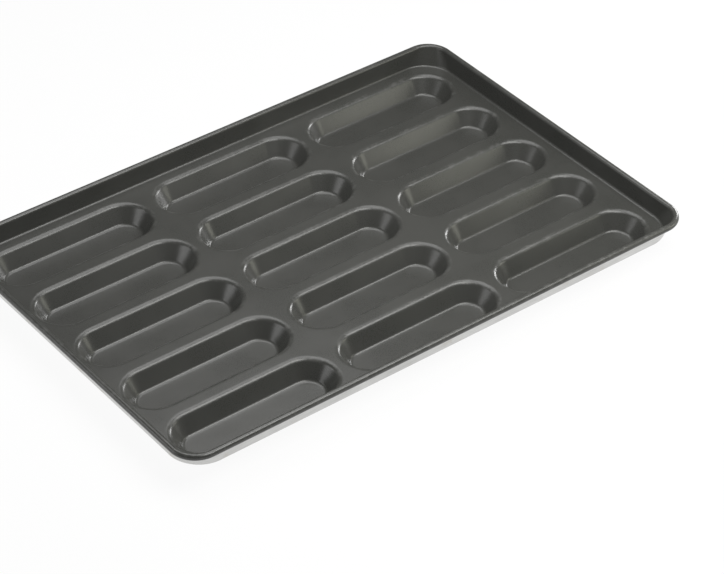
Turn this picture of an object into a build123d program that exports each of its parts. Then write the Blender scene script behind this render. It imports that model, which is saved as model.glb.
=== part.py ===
from build123d import *
import math
import os

# A pressed steel baking tray with fifteen long round-ended moulds in three columns and five rows.
# Millimetres. X runs along the tray and along each mould, Y across it, +Z up.
# The origin is under the middle of the tray, on the surface that the mould floors stand on.

# Driving dimensions
TRAY_LENGTH = 600.0         # over the rolled bead
TRAY_WIDTH = 400.0          # over the rolled bead
TRAY_HEIGHT = 40.5          # from the underside of the moulds to the top of the bead
RIM_CORNER_RADIUS = 28.0    # over the bead, in plan
SHEET = 0.8                 # thickness of the pressed sheet
WIRE_DIAMETER = 4.8         # wire that the bead is rolled round
WIRE_CLEARANCE = 0.05       # all round the wire, inside the bead
WIRE_JOINT_GAP = 0.4        # between the butted ends of the wire
RIM_DRAFT = 5.0             # degrees that the rim wall leans outwards
RIM_BEND_RADIUS = 2.5       # inside bend between the deck and the rim wall
RIM_FOOT_CORNER_RADIUS = 34.0   # of the wall's inner face at deck level, in plan
RIM_MARGIN = 0.5            # strip of flat deck that the rim keeps inside its bend
CURL_END_ANGLE = -130.0     # degrees, where the curled edge stops under the wire

COLUMNS = 3
ROWS = 5
COLUMN_PITCH = 190.5
ROW_PITCH = 74.8
MOULD_LENGTH = 184.0        # between the points where the lips leave the flat deck
MOULD_WIDTH = 65.0          # likewise
MOULD_DEPTH = 18.5          # from the deck down to the mould floor
MOULD_WALL_SLOPE = 58.0     # degrees from level
LIP_RADIUS = 6.5            # rounded lip, on the baking side
FLOOR_RADIUS = 4.5          # hollow corner between wall and floor, on the baking side

# Worked out from the driving dimensions
DECK_TOP = MOULD_DEPTH + SHEET
DECK_UNDERSIDE = MOULD_DEPTH
BEAD_RADIUS = WIRE_DIAMETER / 2 + WIRE_CLEARANCE + SHEET
BEAD_HOLLOW_RADIUS = BEAD_RADIUS - SHEET
BEAD_HEIGHT = TRAY_HEIGHT - BEAD_RADIUS
BEAD_CORNER_RADIUS = RIM_CORNER_RADIUS - BEAD_RADIUS
CORNER_X = TRAY_LENGTH / 2 - RIM_CORNER_RADIUS
CORNER_Y = TRAY_WIDTH / 2 - RIM_CORNER_RADIUS
MOULD_END_OFFSET = (MOULD_LENGTH - MOULD_WIDTH) / 2
LEAN = math.radians(RIM_DRAFT)
RIM_WALL_TOP = BEAD_HEIGHT + BEAD_RADIUS * math.sin(LEAN)
RIM_BEND_RUN = RIM_BEND_RADIUS * math.tan(math.pi / 4 - LEAN / 2)
# Distances from the axis of the tray's corner to the rim wall's two faces, at the top and foot
WALL_INSIDE_TOP = BEAD_CORNER_RADIUS - BEAD_RADIUS * math.cos(LEAN)
WALL_INSIDE_FOOT = WALL_INSIDE_TOP - (RIM_WALL_TOP - DECK_TOP) * math.tan(LEAN)
WALL_OUTSIDE_TOP = BEAD_CORNER_RADIUS - math.sqrt(
    BEAD_HOLLOW_RADIUS**2 - (RIM_WALL_TOP - BEAD_HEIGHT) ** 2
)
WALL_OUTSIDE_FOOT = WALL_INSIDE_FOOT + SHEET / math.cos(LEAN) - SHEET * math.tan(LEAN)
# The wall leans further out in the corners, so that its outside needs a rounder foot there
WALL_OUTSIDE_FOOT_CORNER_RADIUS = RIM_FOOT_CORNER_RADIUS + 1.5 * SHEET
DECK_EDGE = WALL_INSIDE_FOOT - RIM_BEND_RUN - RIM_MARGIN
DECK_CORNER_RADIUS = RIM_FOOT_CORNER_RADIUS - RIM_BEND_RUN - RIM_MARGIN


def polar(centre, radius, degrees):
    """The point at this angle on a circle in the section plane."""
    angle = math.radians(degrees)
    return (centre[0] + radius * math.cos(angle), centre[1] + radius * math.sin(angle))


def arc(centre, radius, start, end):
    """An arc through its two end angles, in degrees, by way of the middle one."""
    middle = (start + end) / 2
    return ThreePointArc(
        polar(centre, radius, start), polar(centre, radius, middle), polar(centre, radius, end)
    )


def section(*edges):
    """A closed face in the XZ plane from edges that follow one another."""
    return Plane.XZ * make_face(edges)


def mould_half_section():
    """Half of the mould's section: floor, hollow corner, sloped wall and rounded lip.

    The first coordinate is the distance from the mould's long centreline.
    """
    slope = math.radians(MOULD_WALL_SLOPE)
    radii = LIP_RADIUS + FLOOR_RADIUS
    wall_drop = MOULD_DEPTH - radii * (1 - math.cos(slope))
    wall_run = wall_drop / math.tan(slope)
    floor_edge = MOULD_WIDTH / 2 - wall_run - radii * math.sin(slope)

    lip = (MOULD_WIDTH / 2, DECK_TOP - LIP_RADIUS)
    corner = (floor_edge, SHEET + FLOOR_RADIUS)
    lip_under = LIP_RADIUS - SHEET
    corner_under = FLOOR_RADIUS + SHEET
    wall_angle = 90 + MOULD_WALL_SLOPE
    corner_angle = -90 + MOULD_WALL_SLOPE
    return section(
        Line((0, SHEET), (floor_edge, SHEET)),
        arc(corner, FLOOR_RADIUS, -90, corner_angle),
        Line(polar(corner, FLOOR_RADIUS, corner_angle), polar(lip, LIP_RADIUS, wall_angle)),
        arc(lip, LIP_RADIUS, wall_angle, 90),
        Line((lip[0], DECK_TOP), (lip[0], DECK_UNDERSIDE)),
        arc(lip, lip_under, 90, wall_angle),
        Line(polar(lip, lip_under, wall_angle), polar(corner, corner_under, corner_angle)),
        arc(corner, corner_under, corner_angle, -90),
        Line((floor_edge, 0), (0, 0)),
        Line((0, 0), (0, SHEET)),
    )


def curl_section():
    """The curl's section, from the top of the rim wall over the wire and back under it.

    The first coordinate is the distance from the axis of the tray's corner.
    """
    bead = (BEAD_CORNER_RADIUS, BEAD_HEIGHT)
    outside_start = 180 - RIM_DRAFT
    rise = RIM_WALL_TOP - BEAD_HEIGHT
    hollow_start = 180 - math.degrees(math.asin(rise / BEAD_HOLLOW_RADIUS))
    return section(
        Line((WALL_OUTSIDE_TOP, RIM_WALL_TOP), (WALL_INSIDE_TOP, RIM_WALL_TOP)),
        arc(bead, BEAD_RADIUS, outside_start, CURL_END_ANGLE),
        Line(
            polar(bead, BEAD_RADIUS, CURL_END_ANGLE),
            polar(bead, BEAD_HOLLOW_RADIUS, CURL_END_ANGLE),
        ),
        arc(bead, BEAD_HOLLOW_RADIUS, CURL_END_ANGLE, hollow_start),
    )


def around_the_rim(profile):
    """Carry a section drawn from the corner's axis along the tray's four sides and corners."""
    along_x = extrude(Rot(0, 0, 90) * profile, CORNER_X, both=True)
    along_y = extrude(profile, CORNER_Y, both=True)
    corner = revolve(profile, Axis.Z, 90)
    pieces = [
        Pos(0, CORNER_Y, 0) * along_x,
        Pos(0, -CORNER_Y, 0) * Rot(0, 0, 180) * along_x,
        Pos(CORNER_X, 0, 0) * along_y,
        Pos(-CORNER_X, 0, 0) * Rot(0, 0, 180) * along_y,
    ]
    corners = [(1, 1), (-1, 1), (-1, -1), (1, -1)]
    for quarter, (side_x, side_y) in enumerate(corners):
        place = Pos(side_x * CORNER_X, side_y * CORNER_Y, 0)
        pieces.append(place * Rot(0, 0, 90 * quarter) * corner)
    return Part() + pieces


def rounded_plan(distance, corner_radius):
    """A rounded rectangle whose sides are this far out from the axes of the tray's corners."""
    return RectangleRounded(2 * (CORNER_X + distance), 2 * (CORNER_Y + distance), corner_radius)


def tub(foot, foot_corner_radius, foot_level, top, bend_radius):
    """A solid bounded by one face of the deck, the bend and one face of the rim wall."""
    base = Pos(0, 0, foot_level) * rounded_plan(foot, foot_corner_radius)
    mouth = Pos(0, 0, RIM_WALL_TOP) * rounded_plan(top, top)
    walls = loft([base, mouth], ruled=True)
    return fillet(walls.edges().group_by(Axis.Z)[0], bend_radius)


def rim():
    """The bend, the leaning wall and the curl, from the edge of the flat deck outwards."""
    outside = tub(
        WALL_OUTSIDE_FOOT,
        WALL_OUTSIDE_FOOT_CORNER_RADIUS,
        DECK_UNDERSIDE,
        WALL_OUTSIDE_TOP,
        RIM_BEND_RADIUS + SHEET,
    )
    inside = tub(
        WALL_INSIDE_FOOT, RIM_FOOT_CORNER_RADIUS, DECK_TOP, WALL_INSIDE_TOP, RIM_BEND_RADIUS
    )
    flat = Pos(0, 0, DECK_UNDERSIDE) * extrude(rounded_plan(DECK_EDGE, DECK_CORNER_RADIUS), SHEET)
    return outside - inside - flat + around_the_rim(curl_section())


def mould_centres():
    """Row, column and plan position of each mould. Row 1 is at +Y, and column 1 at -X."""
    for row in range(1, ROWS + 1):
        for column in range(1, COLUMNS + 1):
            x = (column - (COLUMNS + 1) / 2) * COLUMN_PITCH
            y = ((ROWS + 1) / 2 - row) * ROW_PITCH
            yield row, column, x, y


def mould():
    """One mould at the origin: a trough with half-round ends."""
    half = mould_half_section()
    trough = extrude(Rot(0, 0, 90) * half, MOULD_END_OFFSET, both=True)
    end = Pos(MOULD_END_OFFSET, 0, 0) * Rot(0, 0, -90) * revolve(half, Axis.Z, 180)
    return trough + Rot(0, 0, 180) * trough + end + Rot(0, 0, 180) * end


def deck():
    """The flat sheet between the moulds, out to the strip that the rim keeps."""
    plan = rounded_plan(DECK_EDGE, DECK_CORNER_RADIUS)
    for _, _, x, y in mould_centres():
        plan -= Pos(x, y) * SlotOverall(MOULD_LENGTH, MOULD_WIDTH)
    return Pos(0, 0, DECK_UNDERSIDE) * extrude(plan, SHEET)


def rim_wire():
    """The wire inside the bead, with its butt joint in the middle of the +Y side."""
    circle = Plane.XZ * Pos(BEAD_CORNER_RADIUS, BEAD_HEIGHT) * Circle(WIRE_DIAMETER / 2)
    joint = Box(WIRE_JOINT_GAP, 4 * BEAD_RADIUS, 4 * BEAD_RADIUS)
    return around_the_rim(circle) - Pos(0, TRAY_WIDTH / 2, BEAD_HEIGHT) * joint


def write(part, node):
    """Write one node's STEP file."""
    part.label = node
    export_step(part, os.path.join("parts", node + ".step"))


os.makedirs("parts", exist_ok=True)
write(deck(), "deck_sheet")
write(rim(), "rolled_rim")
write(rim_wire(), "rim_wire")
one_mould = mould()
for mould_row, mould_column, mould_x, mould_y in mould_centres():
    write(Pos(mould_x, mould_y, 0) * one_mould, f"mould_row{mould_row}_column{mould_column}")
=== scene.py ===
import math

import bmesh
import bpy
from mathutils import Matrix, Vector


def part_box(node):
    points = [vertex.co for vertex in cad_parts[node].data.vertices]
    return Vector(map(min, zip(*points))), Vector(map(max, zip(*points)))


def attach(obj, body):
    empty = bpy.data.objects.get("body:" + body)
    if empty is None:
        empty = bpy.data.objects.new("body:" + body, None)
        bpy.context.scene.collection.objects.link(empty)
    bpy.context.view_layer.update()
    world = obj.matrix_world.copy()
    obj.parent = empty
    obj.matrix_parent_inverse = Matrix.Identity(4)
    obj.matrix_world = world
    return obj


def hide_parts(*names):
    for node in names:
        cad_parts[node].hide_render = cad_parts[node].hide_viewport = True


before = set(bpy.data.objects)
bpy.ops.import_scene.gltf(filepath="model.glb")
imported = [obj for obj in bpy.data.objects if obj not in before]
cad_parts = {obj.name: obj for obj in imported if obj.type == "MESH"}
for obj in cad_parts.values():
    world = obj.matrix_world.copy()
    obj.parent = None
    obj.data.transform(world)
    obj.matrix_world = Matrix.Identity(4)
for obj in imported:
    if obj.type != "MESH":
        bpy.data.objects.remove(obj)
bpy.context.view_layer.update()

# Sizes in metres, angles in degrees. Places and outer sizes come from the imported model.
MM = 0.001
LIP_RADIUS = 6.5 * MM
FLOOR_RADIUS = 4.5 * MM
WALL_SLOPE = 58.0
RIM_DRAFT = 5.0
RIM_BEND_RADIUS = 2.5 * MM
RIM_CORNER_RADIUS = 28.0 * MM
RIM_FOOT_CORNER_RADIUS = 34.0 * MM      # of the rim wall's inner face at deck level, in plan
RIM_MARGIN = 0.5 * MM           # flat margin that the rim carries inside its bend
BEAD_RADIUS = 3.25 * MM
CURL_END_ANGLE = -130.0
COATING_END_ANGLE = -58.0       # round the bead, where the coating stops
SHARP_ANGLE = 35.0              # between faces, above which an edge is shaded sharp
FLANGE = 1.2 * MM               # flat margin that a mould carries beyond its lip
SUPPORT = 0.3 * MM              # distance of the edge loops that keep flat faces flat

# How finely the meshes follow each bend
LIP_STEPS = 10
MOULD_END_STEPS = 40
MOULD_RUN_PIECES = 8
BEND_STEPS = 12
CURL_STEPS = 30
BARE_CURL_STEPS = 9
RIM_WALL_PIECES = 3
RIM_CORNER_STEPS = 24
RIM_RUN_PIECES = 16

COATED = 0                      # material index of the baking side
BARE = 1                        # and of the underside

MOULDS = sorted(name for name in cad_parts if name.startswith("mould_"))
DECK_LOW, DECK_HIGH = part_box("deck_sheet")
RIM_LOW, RIM_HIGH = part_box("rolled_rim")
SHEET = DECK_HIGH.z - DECK_LOW.z
DECK_TOP = DECK_HIGH.z

# The rim in section. Distances are from the axis of the tray's corner.
CORNER_X = RIM_HIGH.x - RIM_CORNER_RADIUS
CORNER_Y = RIM_HIGH.y - RIM_CORNER_RADIUS
BEAD = (RIM_CORNER_RADIUS - BEAD_RADIUS, RIM_HIGH.z - BEAD_RADIUS)
LEAN = math.radians(RIM_DRAFT)
WALL_RISE = BEAD[1] + BEAD_RADIUS * math.sin(LEAN) - DECK_TOP
WALL_INSIDE_FOOT = BEAD[0] - BEAD_RADIUS * math.cos(LEAN) - WALL_RISE * math.tan(LEAN)
WALL_OUTSIDE_FOOT = WALL_INSIDE_FOOT + SHEET / math.cos(LEAN) - SHEET * math.tan(LEAN)
WALL_OUTSIDE_FOOT_CORNER_RADIUS = RIM_FOOT_CORNER_RADIUS + 1.5 * SHEET
BEND_RUN = RIM_BEND_RADIUS * math.tan(math.pi / 4 - LEAN / 2)
DECK_CORNER_RADIUS = RIM_FOOT_CORNER_RADIUS - BEND_RUN - RIM_MARGIN


# ---------------------------------------------------------------- camera

SENSOR_WIDTH = 36.0             # mm
FOCAL_LENGTH = 134.7            # mm
CAMERA_DISTANCE = 2.586
CAMERA_AZIMUTH = -38.64
CAMERA_ELEVATION = 38.33
CAMERA_ROLL = 1.03
CAMERA_TARGET = Vector((-0.0086, -0.0730, DECK_TOP))


def make_camera():
    data = bpy.data.cameras.new("camera")
    data.sensor_width = SENSOR_WIDTH
    data.lens = FOCAL_LENGTH
    camera = bpy.data.objects.new("camera", data)
    bpy.context.scene.collection.objects.link(camera)
    azimuth = math.radians(CAMERA_AZIMUTH)
    elevation = math.radians(CAMERA_ELEVATION)
    back = Vector((
        math.sin(azimuth) * math.cos(elevation),
        -math.cos(azimuth) * math.cos(elevation),
        math.sin(elevation),
    ))
    turn = (-back).to_track_quat("-Z", "Y").to_matrix()
    roll = Matrix.Rotation(math.radians(CAMERA_ROLL), 3, "Z")
    place = Matrix.Translation(CAMERA_TARGET + back * CAMERA_DISTANCE)
    camera.matrix_world = place @ (turn @ roll).to_4x4()
    bpy.context.scene.camera = camera


make_camera()


# ---------------------------------------------------------------- material nodes
# Noise scales are in cycles per metre: 16 gives patches some 60 mm across, 1500 a grain under 1 mm.

class Graph:
    """A material's or world's node tree, with short calls to add and join nodes."""

    def __init__(self, tree):
        self.tree = tree
        tree.nodes.clear()

    def add(self, kind, inputs=None, **settings):
        node = self.tree.nodes.new(kind)
        for name, value in settings.items():
            setattr(node, name, value)
        for name, value in (inputs or {}).items():
            self.set(node.inputs[name], value)
        return node

    def set(self, socket, value):
        if isinstance(value, bpy.types.NodeSocket):
            self.tree.links.new(value, socket)
        else:
            socket.default_value = value

    def noise(self, position, scale, detail=2.0, roughness=0.5):
        node = self.add("ShaderNodeTexNoise", {
            "Vector": position, "Scale": scale, "Detail": detail, "Roughness": roughness,
        })
        return node.outputs["Fac"]

    def remap(self, value, low, high, to_low=0.0, to_high=1.0):
        node = self.add("ShaderNodeMapRange", {
            "Value": value, "From Min": low, "From Max": high, "To Min": to_low, "To Max": to_high,
        }, interpolation_type="SMOOTHSTEP")
        return node.outputs["Result"]

    def math(self, operation, a, b):
        node = self.add("ShaderNodeMath", {0: a, 1: b}, operation=operation)
        return node.outputs[0]

    def mix_colour(self, share, a, b):
        node = self.add("ShaderNodeMix", data_type="RGBA")
        self.set(node.inputs[0], share)
        self.set(node.inputs[6], a)
        self.set(node.inputs[7], b)
        return node.outputs[2]

    def bump(self, height, strength, distance, normal=None):
        inputs = {"Height": height, "Strength": strength, "Distance": distance}
        if normal is not None:
            inputs["Normal"] = normal
        return self.add("ShaderNodeBump", inputs).outputs["Normal"]


def new_material(name):
    material = bpy.data.materials.new(name)
    material.use_nodes = True
    return material, Graph(material.node_tree)


def coating_material():
    """Baked non-stick release coating: dark grey, satin, with a fine sprayed grain."""
    material, graph = new_material("release_coating")
    position = graph.add("ShaderNodeTexCoord").outputs["Object"]
    patches = graph.remap(graph.noise(position, 16.0, 3.0), 0.3, 0.7)
    grain = graph.noise(position, 1500.0, 2.0)
    speckle = graph.remap(graph.noise(position, 620.0, 3.0, 0.6), 0.62, 0.74)
    wear = graph.add("ShaderNodeAttribute", attribute_name="edge").outputs["Fac"]
    scuffs = graph.remap(graph.noise(position, 130.0, 4.0, 0.65), 0.48, 0.66)
    rubbed = graph.math("MULTIPLY", wear, scuffs)

    colour = graph.mix_colour(patches, (0.0390, 0.0396, 0.0362, 1), (0.0440, 0.0444, 0.0408, 1))
    speckle_share = graph.math("MULTIPLY", speckle, 0.25)
    colour = graph.mix_colour(speckle_share, colour, (0.075, 0.075, 0.07, 1))
    rubbed_share = graph.math("MULTIPLY", rubbed, 0.35)
    colour = graph.mix_colour(rubbed_share, colour, (0.11, 0.11, 0.105, 1))
    patchy_rough = graph.remap(patches, 0.0, 1.0, 0.28, 0.31)
    rough = graph.math("ADD", patchy_rough, graph.remap(grain, 0.3, 0.7, -0.02, 0.03))
    rough = graph.math("ADD", rough, graph.math("MULTIPLY", rubbed, 0.06))
    waves = graph.noise(position, 22.0, 1.0)
    normal = graph.bump(waves, 1.0, 0.00035)
    normal = graph.bump(graph.noise(position, 700.0, 2.0), 0.25, 0.00004, normal)
    normal = graph.bump(grain, 0.2, 0.00002, normal)
    shader = graph.add("ShaderNodeBsdfPrincipled", {
        "Base Color": colour, "Roughness": rough, "Normal": normal, "IOR": 1.5,
    })
    graph.add("ShaderNodeOutputMaterial", {"Surface": shader.outputs["BSDF"]})
    return material


def bare_steel_material():
    """Bare aluminised steel of the underside: pale, dull, rolled along the tray."""
    material, graph = new_material("aluminised_steel")
    position = graph.add("ShaderNodeTexCoord").outputs["Object"]
    rolling = graph.add("ShaderNodeMapping", {"Vector": position, "Scale": (0.06, 1.0, 1.0)})
    streaks = graph.noise(rolling.outputs["Vector"], 900.0, 3.0, 0.6)
    cells = graph.add("ShaderNodeTexVoronoi", {"Vector": position, "Scale": 420.0})
    spangle = cells.outputs["Distance"]
    patches = graph.remap(graph.noise(position, 11.0, 4.0), 0.35, 0.65)
    colour = graph.mix_colour(patches, (0.56, 0.56, 0.55, 1), (0.64, 0.64, 0.63, 1))
    streak_share = graph.remap(streaks, 0.35, 0.65, 0.0, 0.35)
    colour = graph.mix_colour(streak_share, colour, (0.47, 0.47, 0.46, 1))
    stain = graph.remap(graph.noise(position, 34.0, 5.0, 0.65), 0.56, 0.72, 0.0, 0.3)
    colour = graph.mix_colour(stain, colour, (0.42, 0.37, 0.29, 1))
    rough = graph.remap(streaks, 0.3, 0.7, 0.34, 0.46)
    normal = graph.bump(streaks, 0.25, 0.00003)
    normal = graph.bump(spangle, 0.12, 0.00003, normal)
    shader = graph.add("ShaderNodeBsdfPrincipled", {
        "Base Color": colour, "Roughness": rough, "Normal": normal, "Metallic": 1.0,
    })
    graph.add("ShaderNodeOutputMaterial", {"Surface": shader.outputs["BSDF"]})
    return material


def wire_material():
    """Drawn galvanised wire."""
    material, graph = new_material("galvanised_wire")
    position = graph.add("ShaderNodeTexCoord").outputs["Object"]
    mottle = graph.noise(position, 500.0, 3.0)
    patches = graph.remap(mottle, 0.35, 0.65)
    colour = graph.mix_colour(patches, (0.38, 0.39, 0.40, 1), (0.5, 0.5, 0.5, 1))
    rough = graph.remap(mottle, 0.3, 0.7, 0.36, 0.5)
    normal = graph.bump(mottle, 0.2, 0.00004)
    shader = graph.add("ShaderNodeBsdfPrincipled", {
        "Base Color": colour, "Roughness": rough, "Normal": normal, "Metallic": 1.0,
    })
    graph.add("ShaderNodeOutputMaterial", {"Surface": shader.outputs["BSDF"]})
    return material


COATING = coating_material()
BARE_STEEL = bare_steel_material()
WIRE = wire_material()


# ---------------------------------------------------------------- sections

def polar(centre, radius, degrees):
    """The point at this angle on a circle in the section plane."""
    angle = math.radians(degrees)
    return (centre[0] + radius * math.cos(angle), centre[1] + radius * math.sin(angle))


def arc(centre, radius, start, end, steps):
    turn = end - start
    return [polar(centre, radius, start + turn * step / steps) for step in range(steps + 1)]


def straight(start, end, pieces=1):
    """Points between two ends of a flat stretch, ends left out, with a support point near each."""
    return [between(start, end, share) for share in run_shares(math.dist(start, end), pieces)]


def run_shares(length, pieces):
    """How far along a run of this length each of its points lies, as shares of the length."""
    near = SUPPORT / length
    return [near] + [piece / pieces for piece in range(1, pieces)] + [1 - near]


def between(start, end, share):
    return tuple(a + (b - a) * share for a, b in zip(start, end))


def mould_section(half_width, floor_low):
    """Half of a mould's section, from the floor out over the lip and back underneath.

    Returns the points, how many of the steps between them are on the baking side, and how worn
    each point may be.
    """
    slope = math.radians(WALL_SLOPE)
    radii = LIP_RADIUS + FLOOR_RADIUS
    depth = DECK_TOP - SHEET - floor_low
    wall_drop = depth - radii * (1 - math.cos(slope))
    floor_edge = half_width - wall_drop / math.tan(slope) - radii * math.sin(slope)
    lip = (half_width, DECK_TOP - LIP_RADIUS)
    corner = (floor_edge, floor_low + SHEET + FLOOR_RADIUS)
    wall_angle = 90 + WALL_SLOPE
    corner_angle = WALL_SLOPE - 90

    def side(lip_radius, floor_radius, level):
        hollow = arc(corner, floor_radius, -90, corner_angle, LIP_STEPS)
        rounded = arc(lip, lip_radius, wall_angle, 90, LIP_STEPS)
        inner = [(floor_edge - SUPPORT, level)] + hollow + straight(hollow[-1], rounded[0])
        return inner + rounded + [(half_width + FLANGE, lip[1] + lip_radius)], len(inner)

    top, lip_start = side(LIP_RADIUS, FLOOR_RADIUS, floor_low + SHEET)
    under, _ = side(LIP_RADIUS - SHEET, FLOOR_RADIUS + SHEET, floor_low)
    edge = [0.0] * len(top)
    for step in range(LIP_STEPS + 1):
        edge[lip_start + step] = math.sin(math.pi * step / LIP_STEPS) ** 0.7
    points = top + under[::-1]
    return points, len(top) - 1, edge + [0.0] * len(under)


def wall_lean(foot, level, radius):
    """Degrees that the rim wall leans out, from its foot to where it touches the bead's circle."""
    run = BEAD[0] - foot
    rise = BEAD[1] - level
    return 90 - math.degrees(math.atan2(rise, run) + math.asin(radius / math.hypot(run, rise)))


def rim_face(station, foot, foot_corner_radius, level, bend_radius, radius, curl_end):
    """One face of the rim at a station: margin, bend, wall and curl, from the deck outwards."""
    out = station[1]
    inset = foot_corner_radius - foot
    reach = foot_corner_radius - inset * (abs(out[0]) + abs(out[1]))
    lean = wall_lean(reach, level, radius)
    bend_run = bend_radius * math.tan(math.radians(90 - lean) / 2)
    bend_centre = (foot_corner_radius - bend_run, level + bend_radius)
    deck_inset = RIM_FOOT_CORNER_RADIUS - WALL_INSIDE_FOOT
    margin = rim_point(station, deck_inset, DECK_CORNER_RADIUS, level)
    bend_arc = arc(bend_centre, bend_radius, -90, -lean, BEND_STEPS)
    curl_arc = arc(BEAD, radius, 180 - lean, curl_end, CURL_STEPS)
    bend = [rim_point(station, inset, *point) for point in bend_arc]
    curl = [rim_point(station, 0.0, *point) for point in curl_arc]
    return [margin] + bend + straight(bend[-1], curl[0], RIM_WALL_PIECES) + curl


def rim_section(station):
    """The rim's section at a station: inside, curl and cut edge, then back to the deck outside.

    Returns the points, and how many of the steps between them are coated.
    """
    inside = rim_face(
        station, WALL_INSIDE_FOOT, RIM_FOOT_CORNER_RADIUS, DECK_TOP,
        RIM_BEND_RADIUS, BEAD_RADIUS, COATING_END_ANGLE,
    )
    bare_arc = arc(BEAD, BEAD_RADIUS, COATING_END_ANGLE, CURL_END_ANGLE, BARE_CURL_STEPS)[1:]
    bare = [rim_point(station, 0.0, *point) for point in bare_arc]
    outside = rim_face(
        station, WALL_OUTSIDE_FOOT, WALL_OUTSIDE_FOOT_CORNER_RADIUS, DECK_TOP - SHEET,
        RIM_BEND_RADIUS + SHEET, BEAD_RADIUS - SHEET, CURL_END_ANGLE,
    )
    return inside + bare + outside[::-1], len(inside) - 1


# ---------------------------------------------------------------- paths

def stadium_path(reach):
    """Points and outward directions round a mould whose end centres are at +-reach on X.

    The path starts where it crosses the X axis, so that close_floor can pair its points.
    """
    path = []
    for side in (1, -1):
        for step in range(MOULD_END_STEPS + 1):
            angle = math.radians(-90 + 180 * step / MOULD_END_STEPS)
            path.append(((side * reach, 0.0), (side * math.cos(angle), side * math.sin(angle))))
        run = straight((side * reach, 0.0), (-side * reach, 0.0), MOULD_RUN_PIECES)
        path += [(point, (0.0, float(side))) for point in run]
    start = MOULD_END_STEPS // 2
    return path[start:] + path[:start]


def rim_stations():
    """Stations round the rim. Each is a blend of two corners' signs, and a direction outwards."""
    stations = []
    corners = [(1, 1), (-1, 1), (-1, -1), (1, -1)]
    for quarter, signs in enumerate(corners):
        for step in range(RIM_CORNER_STEPS + 1):
            angle = math.radians(90 * quarter + 90 * step / RIM_CORNER_STEPS)
            stations.append((signs, (math.cos(angle), math.sin(angle))))
        length = 2 * (CORNER_Y if quarter % 2 else CORNER_X)
        angle = math.radians(90 * (quarter + 1))
        for share in run_shares(length, RIM_RUN_PIECES):
            blend = between(signs, corners[(quarter + 1) % 4], share)
            stations.append((blend, (math.cos(angle), math.sin(angle))))
    return stations


def rim_point(station, inset, distance, height):
    """A point this far outwards from the axis of a corner that is inset from the tray's own."""
    signs, out = station
    return (
        signs[0] * (CORNER_X - inset) + distance * out[0],
        signs[1] * (CORNER_Y - inset) + distance * out[1],
        height,
    )


def loop_at(path, distance, centre):
    """The closed loop of plan points at this distance outwards from a path."""
    return [
        (centre[0] + base[0] + distance * out[0], centre[1] + base[1] + distance * out[1])
        for base, out in path
    ]


# ---------------------------------------------------------------- pieces

def finish_piece(name, bm, slot, *replaced):
    """Turn a bmesh into a piece that stands for CAD nodes, with the two finishes by face."""
    bmesh.ops.recalc_face_normals(bm, faces=bm.faces)
    mesh = bpy.data.meshes.new(name)
    bm.to_mesh(mesh)
    bm.free()
    mesh.shade_smooth()
    mesh.set_sharp_from_angle(angle=math.radians(SHARP_ANGLE))
    mesh.materials.append(COATING)
    mesh.materials.append(BARE_STEEL)
    piece = bpy.data.objects.new(name, mesh)
    bpy.context.scene.collection.objects.link(piece)
    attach(piece, "root")
    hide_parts(*replaced)


def skin(bm, loops, coated, edge, closed=False):
    """Join closed loops of points, one after another. Returns their vertices, loop by loop.

    The first steps between loops are coated and the rest bare. edge says how worn each loop is.
    """
    layer = bm.verts.layers.float.new("edge")
    rings = []
    for loop, worn in zip(loops, edge):
        ring = [bm.verts.new(point) for point in loop]
        for vert in ring:
            vert[layer] = worn
        rings.append(ring)
    count = len(rings[0])
    pairs = len(rings) if closed else len(rings) - 1
    for index in range(pairs):
        low, high = rings[index], rings[(index + 1) % len(rings)]
        for step in range(count):
            after = (step + 1) % count
            face = bm.faces.new((low[step], low[after], high[after], high[step]))
            face.material_index = COATED if index < coated else BARE
    return rings


def close_floor(bm, ring, material_index):
    """Fill a ring that is its own mirror image about the X axis with strips across it."""
    count = len(ring)
    for step in range(count // 2):
        facing = (count - step) % count
        corners = [ring[step], ring[step + 1], ring[count - step - 1], ring[facing]]
        unique = [vert for index, vert in enumerate(corners) if vert not in corners[:index]]
        if len(unique) > 2:
            bm.faces.new(unique).material_index = material_index


def make_mould(node):
    """One mould in place of its node. Returns the outline that the deck has to meet."""
    low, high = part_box(node)
    centre = ((low.x + high.x) / 2, (low.y + high.y) / 2)
    half_width = (high.y - low.y) / 2
    path = stadium_path((high.x - low.x) / 2 - half_width)
    section, coated, edge = mould_section(half_width, low.z)
    bm = bmesh.new()
    loops = [
        [(x, y, height) for x, y in loop_at(path, distance, centre)]
        for distance, height in section
    ]
    rings = skin(bm, loops, coated, edge)
    close_floor(bm, rings[0], COATED)
    close_floor(bm, rings[-1], BARE)
    finish_piece(node.replace("mould", "pressed_mould"), bm, "coated_sheet", node)
    return loop_at(path, half_width + FLANGE, centre)


def make_deck(outline, holes):
    """The flat sheet between the moulds and the rim."""
    bm = bmesh.new()
    bm.verts.layers.float.new("edge")
    loops = []
    for points in [outline] + holes:
        verts = [bm.verts.new((x, y, DECK_TOP)) for x, y in points]
        edges = [bm.edges.new(pair) for pair in zip(verts, verts[1:] + verts[:1])]
        loops.append((verts, edges))
    all_edges = [edge for _, edges in loops for edge in edges]
    bmesh.ops.triangle_fill(bm, use_beauty=True, edges=all_edges)
    top_faces = list(bm.faces)
    under = {}
    for verts, _ in loops:
        for vert in verts:
            under[vert] = bm.verts.new((vert.co.x, vert.co.y, DECK_TOP - SHEET))
    for face in top_faces:
        bm.faces.new([under[vert] for vert in reversed(face.verts)]).material_index = BARE
    for verts, _ in loops:
        for vert, after in zip(verts, verts[1:] + verts[:1]):
            bm.faces.new((vert, after, under[after], under[vert])).material_index = BARE
    finish_piece("pressed_deck", bm, "coated_sheet", "deck_sheet")


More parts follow.
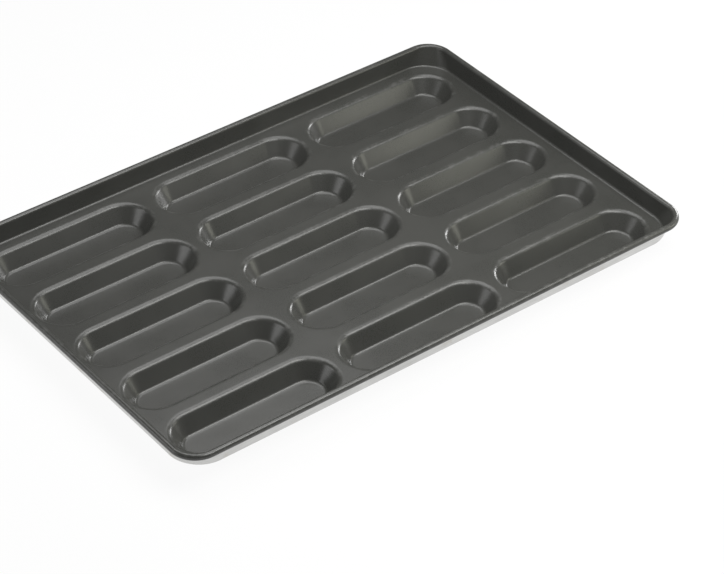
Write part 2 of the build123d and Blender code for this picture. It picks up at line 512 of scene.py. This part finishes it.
def make_rim():
    """The bend, the leaning wall and the curl. Returns the outline that the deck has to meet."""
    sections = []
    for station in rim_stations():
        section, coated = rim_section(station)
        sections.append(section)
    loops = list(zip(*sections))
    edge = [0.0] * len(loops)
    for step in range(CURL_STEPS + 1):
        edge[coated - CURL_STEPS + step] = math.sin(math.pi * step / CURL_STEPS) ** 2
    bm = bmesh.new()
    skin(bm, loops, coated, edge, closed=True)
    finish_piece("curled_rim", bm, "coated_sheet", "rolled_rim")
    return [(x, y) for x, y, _ in loops[0]]


mould_outlines = [make_mould(node) for node in MOULDS]
make_deck(make_rim(), mould_outlines)

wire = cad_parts["rim_wire"]
wire.data.materials.clear()
wire.data.materials.append(WIRE)


# ---------------------------------------------------------------- floor and light

FLOOR_HALF_SIZE = 6.0
FLOOR_LEVEL = -0.2 * MM         # just under the moulds, so that the two don't share a plane


def make_floor():
    bm = bmesh.new()
    bmesh.ops.create_grid(bm, x_segments=1, y_segments=1, size=FLOOR_HALF_SIZE)
    mesh = bpy.data.meshes.new("floor")
    bm.to_mesh(mesh)
    bm.free()
    floor = bpy.data.objects.new("floor", mesh)
    floor.location.z = FLOOR_LEVEL
    bpy.context.scene.collection.objects.link(floor)
    material, graph = new_material("pale_floor")
    shader = graph.add("ShaderNodeBsdfPrincipled", {
        "Base Color": (0.05, 0.05, 0.05, 1), "Roughness": 1.0, "Specular IOR Level": 0.0,
        "Emission Color": (1, 1, 1, 1), "Emission Strength": 0.93,
    })
    graph.add("ShaderNodeOutputMaterial", {"Surface": shader.outputs["BSDF"]})
    mesh.materials.append(material)


# Softboxes: place, size, the point that each faces, radiance and colour
SOFTBOXES = {
    "front_top": ((0.25, -0.50, 0.85), (0.95, 0.45), (0.25, -0.50, 0.0), 8.2, (1.0, 1.0, 0.98)),
    "middle_top": ((0.05, 0.20, 0.85), (0.80, 0.75), (0.05, 0.20, 0.0), 3.6, (1.0, 1.0, 1.0)),
    "right": ((0.95, 0.10, 0.20), (0.28, 0.28), (0.0, 0.0, 0.02), 15.0, (1.0, 1.0, 1.0)),
    "front_right": ((0.65, -0.45, 0.22), (0.26, 0.26), (0.1, 0.05, 0.02), 4.0, (1.0, 1.0, 0.86)),
    "left": ((-0.92, 0.32, 0.30), (0.62, 0.28), (0.0, 0.0, 0.02), 3.4, (1.0, 1.0, 1.0)),
}
AMBIENT = (0.12, 0.12, 0.12, 1)


def make_softboxes():
    for name, (place, size, target, radiance, colour) in SOFTBOXES.items():
        light = bpy.data.lights.new(name, "AREA")
        light.shape = "RECTANGLE"
        light.size, light.size_y = size
        light.energy = radiance * math.pi * size[0] * size[1]
        light.color = colour
        box = bpy.data.objects.new(name, light)
        box.location = place
        box.rotation_euler = (Vector(target) - Vector(place)).to_track_quat("-Z", "Y").to_euler()
        bpy.context.scene.collection.objects.link(box)


def make_world():
    world = bpy.data.worlds.new("studio")
    world.use_nodes = True
    bpy.context.scene.world = world
    graph = Graph(world.node_tree)
    background = graph.add("ShaderNodeBackground", {"Color": AMBIENT, "Strength": 1.0})
    graph.add("ShaderNodeOutputWorld", {"Surface": background.outputs["Background"]})


make_floor()
make_softboxes()
make_world()
bpy.context.scene.view_settings.view_transform = "Standard"
